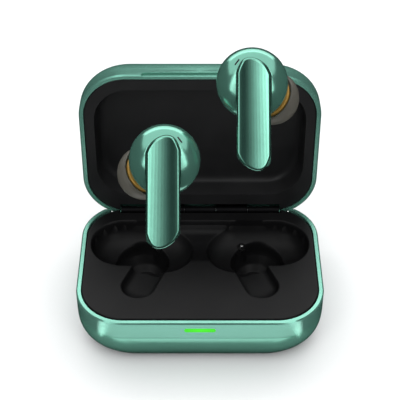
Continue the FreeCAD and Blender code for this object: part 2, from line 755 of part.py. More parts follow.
BUD_PARTS = {
    "faceplate": make_faceplate,
    "stem_housing": make_stem_housing,
    "head_shell": make_head_shell,
    "inner_housing": make_inner_housing,
    "charge_contact": make_contact,
    "nozzle_mesh": make_nozzle_mesh,
    "tip_core": make_tip_core,
    "ear_tip": make_ear_tip,
    "driver": make_driver,
    "bud_pcb": make_bud_pcb,
    "bud_magnet": make_bud_magnet,
    "mic_mesh": make_mic_mesh,
    "coin_cell": make_coin_cell,
}


def main():
    os.makedirs("parts", exist_ok=True)
    shapes = {name: make() for name, make in BASE_PARTS.items()}
    for name, make in LID_PARTS.items():
        shapes[name] = swing_open(make())
    for name, make in BUD_PARTS.items():
        local = make()
        shapes["left_" + name] = raise_bud(local, -1)
        shapes["right_" + name] = raise_bud(local, 1)
    for name, shape in shapes.items():
        solids = shape.Solids
        good = shape.isValid() and all(s.isClosed() for s in solids)
        print(f"{name}: {len(solids)} solid(s), {shape.Volume:.1f} mm3, {'ok' if good else 'BAD'}")
        Part.makeCompound(solids).exportStep(f"parts/{name}.step")


main()
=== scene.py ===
import json
import math

import bmesh
import bpy
import numpy as np
from mathutils import Matrix, Vector


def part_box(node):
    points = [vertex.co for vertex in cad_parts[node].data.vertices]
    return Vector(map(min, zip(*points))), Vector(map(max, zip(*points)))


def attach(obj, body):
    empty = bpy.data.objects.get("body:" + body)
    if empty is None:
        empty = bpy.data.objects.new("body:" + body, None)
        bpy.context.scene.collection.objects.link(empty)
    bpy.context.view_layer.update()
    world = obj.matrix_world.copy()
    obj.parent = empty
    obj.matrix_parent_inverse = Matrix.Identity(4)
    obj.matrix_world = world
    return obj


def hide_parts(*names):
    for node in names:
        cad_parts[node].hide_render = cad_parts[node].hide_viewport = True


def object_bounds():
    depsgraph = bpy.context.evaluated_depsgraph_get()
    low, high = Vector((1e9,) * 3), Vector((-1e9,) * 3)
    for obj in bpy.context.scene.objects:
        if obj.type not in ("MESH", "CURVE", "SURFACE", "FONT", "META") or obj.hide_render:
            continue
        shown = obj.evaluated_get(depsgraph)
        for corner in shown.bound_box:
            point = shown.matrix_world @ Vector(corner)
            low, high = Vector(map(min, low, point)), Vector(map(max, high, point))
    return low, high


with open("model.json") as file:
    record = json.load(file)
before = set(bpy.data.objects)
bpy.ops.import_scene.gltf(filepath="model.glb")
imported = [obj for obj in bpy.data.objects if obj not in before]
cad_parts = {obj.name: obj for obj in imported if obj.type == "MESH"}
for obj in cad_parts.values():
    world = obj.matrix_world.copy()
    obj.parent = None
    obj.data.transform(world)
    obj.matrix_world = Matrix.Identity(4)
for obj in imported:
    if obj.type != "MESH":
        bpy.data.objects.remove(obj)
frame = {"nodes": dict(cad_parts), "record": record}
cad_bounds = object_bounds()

# Earbuds case with its lid open and both buds held up, in metres.
# +Z up, +X right, the hinge on the +Y side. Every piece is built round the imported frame.

MM = 0.001
SIDES = ("left", "right")

# ---- camera and studio; angles in degrees, azimuth 0 is the camera's side and 90 is +X ----
CAMERA_AT = Vector((0.0, -0.2082, 0.2251))
CAMERA_PITCH = 47.83              # from straight down
SENSOR_WIDTH = 36                 # this and the lens in millimetres
LENS = 100.3
LIGHT_TARGET = Vector((0.0, 0.0, 0.04))
LIGHT_DISTANCE = 0.6
WORLD_LIGHT = 0.75
WORLD_COLOR = (0.97, 0.985, 1.0)
PANELS = (("top_panel", 80, 1.2, 0.8, 3.0),                      # elevation, size and power
          ("back_panel", 42, 1.0, 0.3, 1.6))
CARDS = 9                         # on each side of the camera, brighter outwards
CARD_SIZE = (0.0495, 0.4)
CARD_AZIMUTH = 7.5                # of the innermost card
CARD_STEP = 4.6
CARD_ELEVATION = 42
CARD_RADIANCE = (0.07, 0.09, 0.02)    # of the innermost card, and its growth outwards
TABLE_LIGHTS = (("bounce_front", 0, -0.0505, 0.076, 0.045, 0.95),    # x, y, size and radiance
                ("bounce_corner", -0.0335, -0.031, 0.005, 0.014, 2.5),
                ("bounce_corner", 0.0335, -0.031, 0.005, 0.014, 2.5))

# ---- bud, in its own frame: x across the face, y up the stem, z out of the face ----
FACE_TILT = math.radians(CAMERA_PITCH)
HEAD_R = 7.9 * MM
HEAD_HALF = 4.45 * MM
HEAD_POWER = 2.3
HEAD_C = Vector((0.23, 0.17, -4.95)) * MM
STEM_HALF_W = 3.72 * MM
STEM_MID_Y = -6.95 * MM
PLATE_T = 1.3 * MM
PLATE_EDGE_R = 0.5 * MM
PLATE_RINGS = 18                  # inner rings that carry the crown
PLATE_CROWN = 0.675 * MM          # how much the face falls away from its crest to its far edge
CREST_X = 1.7 * MM                # the crest runs nearer one long edge
HEAD_WALL = 0.8 * MM
HEAD_CHAMFER = 0.12 * MM
GROOVE_W = 0.15 * MM              # moat round the plate's upper end
GROOVE_FLOOR = -2.1 * MM
GROOVE_BEVEL = 0.1 * MM
SEAL_Z = (-2.05 * MM, -1.62 * MM)
SEAL_END_Y = -6 * MM
MIC_AT = Vector((3.65, 4.4, -1.45)) * MM
MIC_SLOPE = math.radians(-53)
MIC_SIZE = Vector((1.6, 0.34)) * MM
NOZZLE_AT = Vector((0.23, 0.17, -4.3)) * MM
NOZZLE_DIR = Vector((-0.58, -0.33, -0.745))
NOZZLE_R = 2.9 * MM
NOZZLE_BORE = 2.0 * MM
NOZZLE_END = 11.4 * MM
GRILLE_T = 0.25 * MM
GRILLE_HOLE_R = 0.16 * MM
GRILLE_PITCH = 0.5 * MM
TIP_CORE_R = NOZZLE_R + 0.65 * MM
TIP_CORE_END = 12.35              # millimetres along the nozzle, as in the tip's own profile

# ---- tray, in millimetres ----
TRAY_CORNER = 11.28
TRAY_EDGE_R = 0.3
TRAY_EDGE_STEPS = 4
TRAY_SKIN = 0.4
TRAY_RINGS = 100                  # a multiple of the next value, as the underside keeps so few
UNDERSIDE_EVERY = 4
TRAY_LINE_POINTS = 110            # along each side of the outline
TRAY_ARC_POINTS = 40              # round each corner
LIP = 0.75                        # width of the soft edge round each hollow
BLEND = 0.3                       # depth over which two hollows run into each other
HEAD_BLEND = 0.35
REAR_Y = 15.6
POCKET_R = 8.7
HEAD_X = 9.9
TIP_X = 20.6
POCKET_INNER_X = 1.3
HEAD_DEPTH = 6.6
FRONT_BOWL_Y = 4.2
FRONT_BOWL_R = 8.4
FRONT_BOWL_DEPTH = 4.9
SCOOP_DEPTH = 3.3
SCOOP_WALL = 3.0                  # how far in from its edge the scoop is at full depth
SCOOP_CORNER = 2.2
SCOOP_FRONT = -0.3
SCOOP_RAMP = 10.0
POCKET_RAMP = 9.0
OUTER_X = -19.0                   # beyond this the pocket's front wall turns into a slope
OUTER_RAMP = 4.0
SEAT = (-10.0, 6.0)
SLANT = 22.0                      # degrees
STEM_DEPTH = 3.1
CHANNEL_HALF = 4.5
CHANNEL_LENGTH = 24.0
CHANNEL_END = 20.4
TIP_WELL = ((5.5, -15.6, 5.4, 7.3), (9.3, -15.4, 5.3, 6.7),     # depth, x, y and radius
            (11.8, -15.0, 5.1, 5.3), (13.15, -14.9, 5.1, 3.6))
BOSS_R = 1.15                     # the flat round each charging pin
BOSS_EDGE = 0.3
PIN_PROUD = 0.3
HINGE_FRONT_Y = 18.85
KNUCKLE_HALF_X = 22.3
KNUCKLE_DEPTH = 2.9
RELIEF_Y = 20.0
RELIEF_HALF_X = 27.2
RELIEF_DEPTH = 3.4


# ======== small tools ========
def link(obj, body, slot, *nodes):
    """Puts a finished piece in the scene, on its body, in place of its CAD nodes."""
    bpy.context.scene.collection.objects.link(obj)
    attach(obj, body)
    if nodes:
        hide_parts(*nodes)
    return obj


def mesh_object(name, bm, material, smooth_angle=32):
    """Object from a bmesh, smooth except where faces meet at more than the angle."""
    limit = math.radians(smooth_angle)
    bmesh.ops.recalc_face_normals(bm, faces=bm.faces)
    for face in bm.faces:
        face.smooth = True
    for edge in bm.edges:
        edge.smooth = not edge.is_manifold or edge.calc_face_angle(0) < limit
    mesh = bpy.data.meshes.new(name)
    bm.to_mesh(mesh)
    bm.free()
    mesh.materials.append(material)
    return bpy.data.objects.new(name, mesh)


def applied(obj, name, material, smooth_angle=32):
    """A plain copy of obj with its modifiers applied."""
    bpy.context.scene.collection.objects.link(obj)
    graph = bpy.context.evaluated_depsgraph_get()
    mesh = bpy.data.meshes.new_from_object(obj.evaluated_get(graph))
    bm = bmesh.new()
    bm.from_mesh(mesh)
    bpy.data.objects.remove(obj)
    return mesh_object(name, bm, material, smooth_angle)


def carve(body, cutter, material):
    """Cuts a bmesh out of body; the tool it returns can go once the cut is applied."""
    tool = mesh_object("cutter", cutter, material)
    bpy.context.scene.collection.objects.link(tool)
    cut = body.modifiers.new("cut", "BOOLEAN")
    cut.operation = "DIFFERENCE"
    cut.solver = "EXACT"
    cut.object = tool
    return tool


def moved(obj, matrix):
    """Transforms obj's mesh; its faces stay outward where the matrix mirrors it."""
    obj.data.transform(matrix)
    if matrix.determinant() < 0:
        obj.data.flip_normals()
    return obj


def lathe(profile, steps=96, closed=True):
    """bmesh turned about Z from (radius, height) points; a radius of 0 is a pole."""
    bm = bmesh.new()
    rings = []
    for radius, height in profile:
        if radius < 1e-7:
            rings.append([bm.verts.new((0, 0, height))])
            continue
        ring = []
        for i in range(steps):
            a = 2 * math.pi * i / steps
            ring.append(bm.verts.new((radius * math.cos(a), radius * math.sin(a), height)))
        rings.append(ring)
    pairs = list(zip(rings, rings[1:]))
    if closed and len(rings[0]) > 1 and len(rings[-1]) > 1:
        pairs.append((rings[-1], rings[0]))
    for low, high in pairs:
        for i in range(steps):
            j = (i + 1) % steps
            corners = [low[i % len(low)], low[j % len(low)],
                       high[j % len(high)], high[i % len(high)]]
            unique = list(dict.fromkeys(corners))
            if len(unique) > 2:
                bm.faces.new(unique)
    return bm


def rounded(points, radii, steps=5):
    """Closed profile with each corner rounded by its radius; 0 keeps it sharp."""
    out = []
    count = len(points)
    for i, radius in enumerate(radii):
        here = Vector(points[i])
        before = Vector(points[i - 1]) - here
        after = Vector(points[(i + 1) % count]) - here
        reach = min(radius, 0.48 * before.length, 0.48 * after.length)
        if reach <= 0:
            out.append(tuple(here))
            continue
        start = here + before.normalized() * reach
        end = here + after.normalized() * reach
        for k in range(steps + 1):
            t = k / steps
            out.append(tuple(start * (1 - t) ** 2 + here * 2 * t * (1 - t) + end * t * t))
    return out


def superellipse(radius, half, power, steps):
    """(radius, height) points of a quarter turn, from the pole at the top to the equator."""
    points = []
    for i in range(steps + 1):
        a = math.pi / 2 * i / steps
        height = half * max(math.cos(a), 0) ** (2 / power)
        points.append((radius * math.sin(a) ** (2 / power), height))
    points[0] = (0, half)
    points[-1] = (radius, 0)
    return points


# ======== materials ========
class Paint:
    """A node material that starts from one Principled shader."""

    def __init__(self, name, color, roughness, **sockets):
        self.mat = bpy.data.materials.new(name)
        self.mat.use_nodes = True
        self.tree = self.mat.node_tree
        self.shader = self.tree.nodes["Principled BSDF"]
        self.shader.inputs["Base Color"].default_value = (*color, 1)
        self.shader.inputs["Roughness"].default_value = roughness
        for key, value in sockets.items():
            self.shader.inputs[key.replace("_", " ")].default_value = value
        self.color = color
        self.roughness = roughness
        self.coords = self.tree.nodes.new("ShaderNodeTexCoord").outputs["Object"]
        self.normal = None

    def join(self, output, target):
        self.tree.links.new(output, target)

    def noise(self, size, stretch=(1, 1, 1), detail=3.0, rough=0.55):
        """Noise with features of about this size in metres, longer along the stretched axes."""
        mapping = self.tree.nodes.new("ShaderNodeMapping")
        mapping.inputs["Scale"].default_value = [1 / (size * s) for s in stretch]
        self.join(self.coords, mapping.inputs["Vector"])
        noise = self.tree.nodes.new("ShaderNodeTexNoise")
        noise.inputs["Scale"].default_value = 1.0
        noise.inputs["Detail"].default_value = detail
        noise.inputs["Roughness"].default_value = rough
        self.join(mapping.outputs["Vector"], noise.inputs["Vector"])
        return noise.outputs["Fac"]

    def cells(self, size, feature="F1"):
        mapping = self.tree.nodes.new("ShaderNodeMapping")
        mapping.inputs["Scale"].default_value = [1 / size] * 3
        self.join(self.coords, mapping.inputs["Vector"])
        cells = self.tree.nodes.new("ShaderNodeTexVoronoi")
        cells.feature = feature
        cells.inputs["Scale"].default_value = 1.0
        self.join(mapping.outputs["Vector"], cells.inputs["Vector"])
        return cells.outputs["Distance"]

    def spread(self, value, low, high, start=0.3, end=0.7):
        """Maps a 0-1 pattern to a range."""
        node = self.tree.nodes.new("ShaderNodeMapRange")
        ends = {"From Min": start, "From Max": end, "To Min": low, "To Max": high}
        for key, number in ends.items():
            node.inputs[key].default_value = number
        self.join(value, node.inputs["Value"])
        return node.outputs["Result"]

    def tint(self, value, low, high):
        """Base colour runs between two tints of the paint's own colour."""
        mix = self.tree.nodes.new("ShaderNodeMix")
        mix.data_type = "RGBA"
        mix.inputs["A"].default_value = (*[c * low for c in self.color], 1)
        mix.inputs["B"].default_value = (*[min(c * high, 1) for c in self.color], 1)
        self.join(value, mix.inputs["Factor"])
        self.join(mix.outputs["Result"], self.shader.inputs["Base Color"])
        return self

    def wear(self, value, change):
        """Roughness varies by the pattern."""
        low = self.roughness * (1 - change)
        high = self.roughness * (1 + change)
        self.join(self.spread(value, low, high), self.shader.inputs["Roughness"])
        return self

    def bump(self, value, height, strength=1.0):
        node = self.tree.nodes.new("ShaderNodeBump")
        node.inputs["Distance"].default_value = height
        node.inputs["Strength"].default_value = strength
        self.join(value, node.inputs["Height"])
        if self.normal is not None:
            self.join(self.normal, node.inputs["Normal"])
        self.normal = node.outputs["Normal"]
        self.join(self.normal, self.shader.inputs["Normal"])
        return self


def lacquer(name, color, roughness, metallic, coat, painted_shade=None):
    """Glossy metallic lacquer: fine flake, faint flow marks under a clear coat. The painted shade is
    two heights: painted shade deepens the colour below the first, and it is pale above the second."""
    paint = Paint(name, color, roughness, Metallic=metallic, Coat_Weight=coat, Coat_Roughness=0.06)
    flow = paint.noise(6 * MM, detail=2)
    flake = paint.cells(0.12 * MM)
    if painted_shade:
        # painted shade: the colour is darkened to 35% towards the bottom of the shell and made a
        # little paler above, in place of the reflection falling off near the floor
        split = paint.tree.nodes.new("ShaderNodeSeparateXYZ")
        paint.join(paint.coords, split.inputs["Vector"])
        paint.tint(paint.spread(split.outputs["Z"], 0, 1, *painted_shade), 0.35, 1.15).wear(flow, 0.08)
    else:
        paint.tint(paint.spread(flow, 0, 1), 0.95, 1.05).wear(flow, 0.08)
    return paint.bump(flake, 0.0003 * MM).mat


def brushed(name, color, roughness, metallic):
    """Lacquered metal, brushed level round the case."""
    paint = Paint(name, color, roughness, Metallic=metallic, Coat_Weight=0.25, Coat_Roughness=0.12,
                  Anisotropic=0.75, Anisotropic_Rotation=0.25)
    long_lines = paint.noise(0.2 * MM, stretch=(60, 60, 1), detail=4, rough=0.7)
    haze = paint.noise(4 * MM, stretch=(3, 3, 1))
    paint.tint(paint.spread(long_lines, 0, 1), 0.93, 1.06).wear(haze, 0.08)
    return paint.bump(long_lines, 0.0015 * MM).mat


def satin(name, color, roughness, grain=0.16 * MM, height=0.004 * MM, **sockets):
    """Moulded plastic with a fine spark-eroded grain."""
    paint = Paint(name, color, roughness, **sockets)
    fine = paint.noise(grain, detail=2)
    broad = paint.noise(9 * MM, detail=3)
    paint.tint(paint.spread(broad, 0, 1), 0.82, 1.18).wear(broad, 0.12)
    return paint.bump(fine, height).mat


def bare_metal(name, color, roughness, stretch=(1, 1, 1)):
    paint = Paint(name, color, roughness, Metallic=1.0)
    lines = paint.noise(0.1 * MM, stretch=stretch, detail=4)
    stain = paint.noise(2.5 * MM)
    paint.tint(paint.spread(stain, 0, 1), 0.88, 1.08).wear(lines, 0.25)
    return paint.bump(lines, 0.002 * MM).mat


def rubber(name, color, roughness, clear, **sockets):
    """Translucent moulded silicone with a powdery skin."""
    paint = Paint(name, color, roughness, Transmission_Weight=clear, IOR=1.41, **sockets)
    skin = paint.noise(0.25 * MM, detail=2)
    cloud = paint.noise(2.2 * MM)
    paint.tint(paint.spread(cloud, 0, 1), 0.9, 1.1).wear(cloud, 0.15)
    return paint.bump(skin, 0.003 * MM).mat


def paper(name, color):
    """Plain backdrop paper, all but even."""
    paint = Paint(name, color, 0.8)
    fibre = paint.noise(1.2 * MM)
    return paint.tint(fibre, 0.99, 1.01).bump(fibre, 0.002 * MM).mat


def circuit(name):
    """Solder mask with copper traces just showing."""
    paint = Paint(name, (0.012, 0.05, 0.035), 0.35, Coat_Weight=0.5, Coat_Roughness=0.15)
    traces = paint.cells(0.9 * MM, feature="DISTANCE_TO_EDGE")
    paint.tint(paint.spread(traces, 1, 0, 0.04, 0.09), 1.0, 2.6)
    paint.wear(paint.noise(1.5 * MM), 0.2)
    return paint.bump(paint.spread(traces, 1, 0, 0.04, 0.09), 0.02 * MM).mat


def perforated(name):
    """Fine woven acoustic mesh."""
    paint = Paint(name, (0.05, 0.05, 0.055), 0.4, Metallic=0.8)
    holes = paint.cells(0.18 * MM)
    paint.tint(paint.spread(holes, 0, 1, 0.25, 0.5), 0.2, 1.8)
    return paint.bump(holes, 0.03 * MM).mat


def light_bar(name):
    """Diffusing lens, lit green from behind and brighter in the middle."""
    paint = Paint(name, (0.012, 0.16, 0.008), 0.6, Specular_IOR_Level=0.05)
    ramp = paint.tree.nodes.new("ShaderNodeSeparateXYZ")
    paint.join(paint.coords, ramp.inputs["Vector"])
    away = paint.tree.nodes.new("ShaderNodeMath")
    away.operation = "ABSOLUTE"
    paint.join(ramp.outputs["X"], away.inputs[0])
    glow = paint.spread(away.outputs["Value"], 1.0, 0.8, 0, 4 * MM)
    paint.shader.inputs["Emission Color"].default_value = (0.075, 0.75, 0.03, 1)
    paint.join(glow, paint.shader.inputs["Emission Strength"])
    return paint.bump(paint.noise(0.3 * MM), 0.004 * MM).mat


MINT = (0.2, 0.52, 0.4)
MATERIALS = {
    # the body lacquer carries a painted shade, darker towards the bottom of the shell
    "green_gloss": lacquer("mint_lacquer_painted_shade", MINT, 0.22, 0.75, 0.4, painted_shade=(0.5 * MM, 6 * MM)),
    "green_band": brushed("mint_brushed", (0.21, 0.52, 0.41), 0.25, 0.75),
    "bud_green": lacquer("bud_lacquer", MINT, 0.1, 0.93, 0.4),
    "black_satin": satin("black_satin", (0.011, 0.011, 0.0115), 0.38, Specular_IOR_Level=0.3),
    "black_plastic": satin("black_plastic", (0.02, 0.02, 0.021), 0.55, 0.25 * MM, 0.008 * MM),
    "led_lens": light_bar("green_light_lens"),
    "led_chip": satin("lit_chip", (0.7, 0.75, 0.55), 0.4),
    "pcb": circuit("circuit_board"),
    "steel": bare_metal("steel", (0.6, 0.6, 0.6), 0.28),
    "black_metal": bare_metal("black_coated_metal", (0.012, 0.012, 0.013), 0.5, (30, 1, 1)),
    "foil": bare_metal("cell_foil", (0.62, 0.63, 0.66), 0.32, (1, 8, 1)),
    "usb_metal": bare_metal("nickel_shell", (0.5, 0.5, 0.51), 0.24, (1, 12, 1)),
    "gold": bare_metal("gold_plate", (0.85, 0.62, 0.28), 0.2),
    "magnet": bare_metal("nickel_magnet", (0.55, 0.54, 0.52), 0.22),
    "flex": satin("flex_film", (0.28, 0.12, 0.03), 0.4),
    "silicone": rubber("grey_silicone", (0.17, 0.162, 0.135), 0.4, 0.6),
    "amber": rubber("amber_silicone", (0.5, 0.29, 0.06), 0.4, 0.15),
    "mesh": perforated("acoustic_mesh"),
}
HEAD_GREEN = lacquer("head_lacquer", MINT, 0.19, 0.82, 0.5)
TRAY_BLACK = satin("tray_satin", (0.005, 0.005, 0.0053), 0.42, Specular_IOR_Level=0.2)
GASKET = satin("groove_black", (0.012, 0.03, 0.025), 0.5)
FLOOR = paper("studio_floor", (0.82, 0.82, 0.82))


def paint_cad_nodes():
    """Every CAD node takes the finish of its own slot in the record."""
    for part in frame["record"]["subparts"]:
        node = frame["nodes"][part["node"]]
        material = MATERIALS[part["material_slot"]]
        if not node.material_slots:
            node.data.materials.append(material)
        for entry in node.material_slots:
            entry.material = material


# ======== buds ========
def bud_matrix(side):
    """From a bud's own frame to the row frame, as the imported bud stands."""
    low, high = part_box(side + "_faceplate")
    tilt = Matrix.Rotation(FACE_TILT, 4, "X")
    plate_middle = tilt @ Vector((0, STEM_MID_Y, -PLATE_T / 2))
    flip = Matrix.Diagonal((1 if side == "left" else -1, 1, 1, 1))
    return Matrix.Translation((low + high) / 2 - plate_middle) @ tilt @ flip


def nozzle_matrix():
    turn = Vector((0, 0, 1)).rotation_difference(NOZZLE_DIR).to_matrix().to_4x4()
    return Matrix.Translation(NOZZLE_AT) @ turn


def stem_outline(grow, steps=14):
    """Points of the stem's outline: straight sides and two ends leaning the same way."""
    top = [(-3.72, 1.4), (-2.65, 3.5), (-0.9, 4.85), (1.0, 5.3), (2.6, 4.5), (3.72, 2.0)]
    top = [Vector((x, y)) * MM for x, y in top]
    padded = [top[0] - Vector((0, 2 * MM))] + top + [top[-1] - Vector((0, 2 * MM))]
    half = []
    for k in range(1, len(padded) - 2):
        a, b, c, d = padded[k - 1], padded[k], padded[k + 1], padded[k + 2]
        for i in range(steps):
            t = i / steps
            point = 2 * b + (c - a) * t + (2 * a - 5 * b + 4 * c - d) * t * t
            half.append((point + (3 * b - a - 3 * c + d) * t ** 3) / 2)
    half.append(top[-1])
    middle = Vector((0, STEM_MID_Y))
    outline = half + [2 * middle - p for p in half]
    if not grow:
        return outline
    out = []
    for i, p in enumerate(outline):
        along = (outline[(i + 1) % len(outline)] - outline[i - 1]).normalized()
        out.append(p + Vector((-along.y, along.x)) * grow)
    return out


def prism(outline, z0, z1):
    bm = bmesh.new()
    low = [bm.verts.new((p.x, p.y, z0)) for p in outline]
    high = [bm.verts.new((p.x, p.y, z1)) for p in outline]
    for i in range(len(outline)):
        j = (i + 1) % len(outline)
        bm.faces.new((low[i], low[j], high[j], high[i]))
    bm.faces.new(low[::-1])
    bm.faces.new(high)
    return bm


def crowned_plate(side, place):
    """Faceplate with a crown across its width and a soft rounded edge all round."""
    bm = bmesh.new()
    rings = []
    insets = [(0, -PLATE_T), (0, -PLATE_EDGE_R)]
    for k in range(1, 7):
        a = math.pi / 2 * k / 6
        insets.append((PLATE_EDGE_R * (1 - math.cos(a)), -PLATE_EDGE_R * (1 - math.sin(a))))
    outline = stem_outline(0)
    for inset, z in insets:
        rings.append([(p, z) for p in (stem_outline(-inset) if inset else outline)])
    last = rings[-1]
    spine_half = (outline[0] - outline[-1]).length / 2
    for k in range(PLATE_RINGS - 1, 0, -1):
        share = k / PLATE_RINGS
        ring = []
        for p, z in last:
            core = Vector((0, min(max(p.y, STEM_MID_Y - spine_half), STEM_MID_Y + spine_half)))
            ring.append((core + (p - core) * share, z))
        rings.append(ring)
    made = []
    for ring in rings:
        verts = []
        for p, z in ring:
            across = (p.x - CREST_X) / (STEM_HALF_W + CREST_X)
            drop = PLATE_CROWN * across ** 2 if z > -PLATE_T else 0
            verts.append(bm.verts.new((p.x, p.y, z - drop)))
        made.append(verts)
    for low, high in zip(made, made[1:]):
        for i in range(len(low)):
            j = (i + 1) % len(low)
            bm.faces.new((low[i], low[j], high[j], high[i]))
    bm.faces.new(made[0][::-1])
    inner = bm.faces.new(made[-1])
    bmesh.ops.triangulate(bm, faces=[inner])
    bm.transform(place)
    name = f"bud_plate_{side}"
    return link(mesh_object(name, bm, MATERIALS["bud_green"], 50), side + "_bud", "bud_green",
                side + "_faceplate")


def head_cap(side, place):
    """Outer half of the head, with a moat for the plate and a slot for the microphone."""
    outer = superellipse(HEAD_R, HEAD_HALF, HEAD_POWER, 40)
    inner = superellipse(HEAD_R - HEAD_WALL, HEAD_HALF - HEAD_WALL, HEAD_POWER, 24)
    seam = [(HEAD_R, HEAD_CHAMFER), (HEAD_R - HEAD_CHAMFER, 0)]
    profile = outer[:-1] + seam + inner[::-1]
    bm = lathe(profile, steps=160, closed=False)
    bm.transform(Matrix.Translation(HEAD_C))
    body = mesh_object("head_blank", bm, MATERIALS["bud_green"])
    moat = prism(stem_outline(GROOVE_W), GROOVE_FLOOR, 3 * MM)
    slot = prism(pill(MIC_SIZE.x, MIC_SIZE.y), -2 * MM, 2 * MM)
    slot.transform(Matrix.Translation(MIC_AT) @ Matrix.Rotation(MIC_SLOPE, 4, "Z"))
    tools = [carve(body, cutter, GASKET) for cutter in (moat, slot)]
    bevel = body.modifiers.new("soft_edges", "BEVEL")
    bevel.width = GROOVE_BEVEL
    bevel.segments = 3
    bevel.limit_method = "ANGLE"
    bevel.angle_limit = math.radians(40)
    bevel.use_clamp_overlap = True
    cap = applied(body, f"bud_head_{side}", HEAD_GREEN, 40)
    for tool in tools:
        bpy.data.objects.remove(tool)
    return link(moved(cap, place), side + "_bud", "bud_green", side + "_head_shell")


def pill(length, width, steps=8):
    """Outline of a slot with round ends."""
    r = width / 2
    reach = length / 2 - r
    points = []
    for centre, start in ((reach, -90), (-reach, 90)):
        for k in range(steps + 1):
            a = math.radians(start + 180 * k / steps)
            points.append(Vector((centre + r * math.cos(a), r * math.sin(a))))
    return points


def groove_gasket(side, place):
    """Thin black seal that fills the foot of the moat round the plate."""
    bm = bmesh.new()
    outer = stem_outline(GROOVE_W - 0.02 * MM)
    inner = stem_outline(0.01 * MM)
    upper = [i for i, p in enumerate(stem_outline(0)) if p.y > SEAL_END_Y]
    z0, z1 = SEAL_Z
    rows = []
    for i in upper:
        o, n = outer[i], inner[i]
        rows.append([bm.verts.new((q.x, q.y, z)) for q, z in ((o, z0), (o, z1), (n, z1), (n, z0))])
    for a, b in zip(rows, rows[1:]):
        for k in range(4):
            bm.faces.new((a[k], a[(k + 1) % 4], b[(k + 1) % 4], b[k]))
    bm.faces.new(rows[0])
    bm.faces.new(rows[-1][::-1])
    bm.transform(place)
    return link(mesh_object(f"bud_seal_{side}", bm, GASKET), side + "_bud", "black_satin")


def ear_tip(side, place):
    """Silicone mushroom, turned from a rounded profile, with its thin free skirt."""
    points = [(2.3, 13.5), (3.6, 13.15), (4.75, 12.1), (5.62, 10.6), (6.05, 9.0), (6.05, 8.0),
              (5.75, 7.25), (5.35, 7.3), (5.55, 8.2), (5.5, 9.0), (5.1, 10.4), (4.3, 11.6),
              (TIP_CORE_R / MM, TIP_CORE_END), (2.3, 12.4)]
    radii = [0.35, 0.5, 0.7, 0.7, 0.6, 0.5, 0.2, 0.2, 0.4, 0.5, 0.6, 0.5, 0.1, 0.2]
    scaled = [(r * MM, h * MM) for r, h in points]
    bm = lathe(rounded(scaled, [r * MM for r in radii], 6), steps=112)
    bm.transform(place @ nozzle_matrix())
    tip = mesh_object(f"ear_tip_{side}", bm, MATERIALS["silicone"], 60)
    return link(tip, side + "_bud", "silicone", side + "_ear_tip")


def tip_core(side, place):
    """Stiffer coloured core that grips the nozzle."""
    flange = 4.95 * MM
    end = TIP_CORE_END * MM
    points = [(NOZZLE_R, 7.1 * MM), (flange, 7.1 * MM), (flange, 7.8 * MM),
              (TIP_CORE_R, 8.2 * MM), (TIP_CORE_R, end), (NOZZLE_R, end)]
    radii = [0, 0.25 * MM, 0.25 * MM, 0.3 * MM, 0.15 * MM, 0]
    bm = lathe(rounded(points, radii, 5), steps=96)
    bm.transform(place @ nozzle_matrix())
    piece = mesh_object(f"tip_core_{side}", bm, MATERIALS["amber"], 60)
    return link(piece, side + "_bud", "amber", side + "_tip_core")


def nozzle_grille(side, place):
    """Disc with real round holes in rings, inside the nozzle's bore."""
    bm = bmesh.new()
    top = NOZZLE_END - GRILLE_T
    round_edge = pill(2 * NOZZLE_BORE, 2 * NOZZLE_BORE - 0.002 * MM, 24)
    disc = prism(round_edge, top - GRILLE_T, top)
    blank = mesh_object("grille_blank", disc, MATERIALS["mesh"])
    for ring in range(4):
        count = max(1, 6 * ring)
        for i in range(count):
            a = 2 * math.pi * i / count + 0.2 * ring
            at = Vector((math.cos(a), math.sin(a), 0)) * ring * GRILLE_PITCH
            at.z = top - 1 * MM
            made = bmesh.ops.create_cone(bm, cap_ends=True, segments=12, radius1=GRILLE_HOLE_R,
                                         radius2=GRILLE_HOLE_R, depth=4 * MM)
            bmesh.ops.translate(bm, verts=made["verts"], vec=at)
    tool = carve(blank, bm, MATERIALS["mesh"])
    grille = applied(blank, f"nozzle_grille_{side}", MATERIALS["mesh"])
    bpy.data.objects.remove(tool)
    return link(moved(grille, place @ nozzle_matrix()), side + "_bud", "mesh", side + "_nozzle_mesh")


def build_buds():
    for side in SIDES:
        place = bud_matrix(side)
        crowned_plate(side, place)
        head_cap(side, place)
        groove_gasket(side, place)
        ear_tip(side, place)
        tip_core(side, place)
        nozzle_grille(side, place)


# ======== tray ========
def inside_distance(x, y, centre, length, width, corner, turn=0.0):
    """How far points lie inside a rounded rectangle; negative outside."""
    c, s = math.cos(turn), math.sin(turn)
    u = np.abs((x - centre[0]) * c + (y - centre[1]) * s) - (length / 2 - corner)
    v = np.abs((y - centre[1]) * c - (x - centre[0]) * s) - (width / 2 - corner)
    outside = np.hypot(np.maximum(u, 0), np.maximum(v, 0)) + np.minimum(np.maximum(u, v), 0)
    return corner - outside


def bowl_depth(distance, half, depth):
    """Superelliptic bowl with a soft lip."""
    p = np.clip(distance / half, 0, 1)
    lip = np.clip((distance + LIP / 4) / LIP, 0, 1)
    return depth * (1 - (1 - p) ** 2.5) ** 0.4 * lip * lip * (3 - 2 * lip)


def soft_max(a, b, width):
    """The larger of two depths, blended where they are within the width of each other."""
    share = np.clip(0.5 + (a - b) / (2 * width), 0, 1)
    return b + (a - b) * share + width * share * (1 - share)


def well_depth(x, y):
    """Depth of the ear tip's well, a stack of cones between its levels."""
    inside = [r - np.hypot(x - cx, y - cy) for _, cx, cy, r in TIP_WELL]
    depth = TIP_WELL[0][0] * np.clip(inside[0] / 0.2 + 1, 0, 1)
    for (upper, *_), (lower, *_), a, b in zip(TIP_WELL, TIP_WELL[1:], inside, inside[1:]):
        share = np.clip(a / np.maximum(a - b, 1e-6), 0, 1)
        depth = np.where(a > 0, upper + (lower - upper) * share, depth)
    return depth


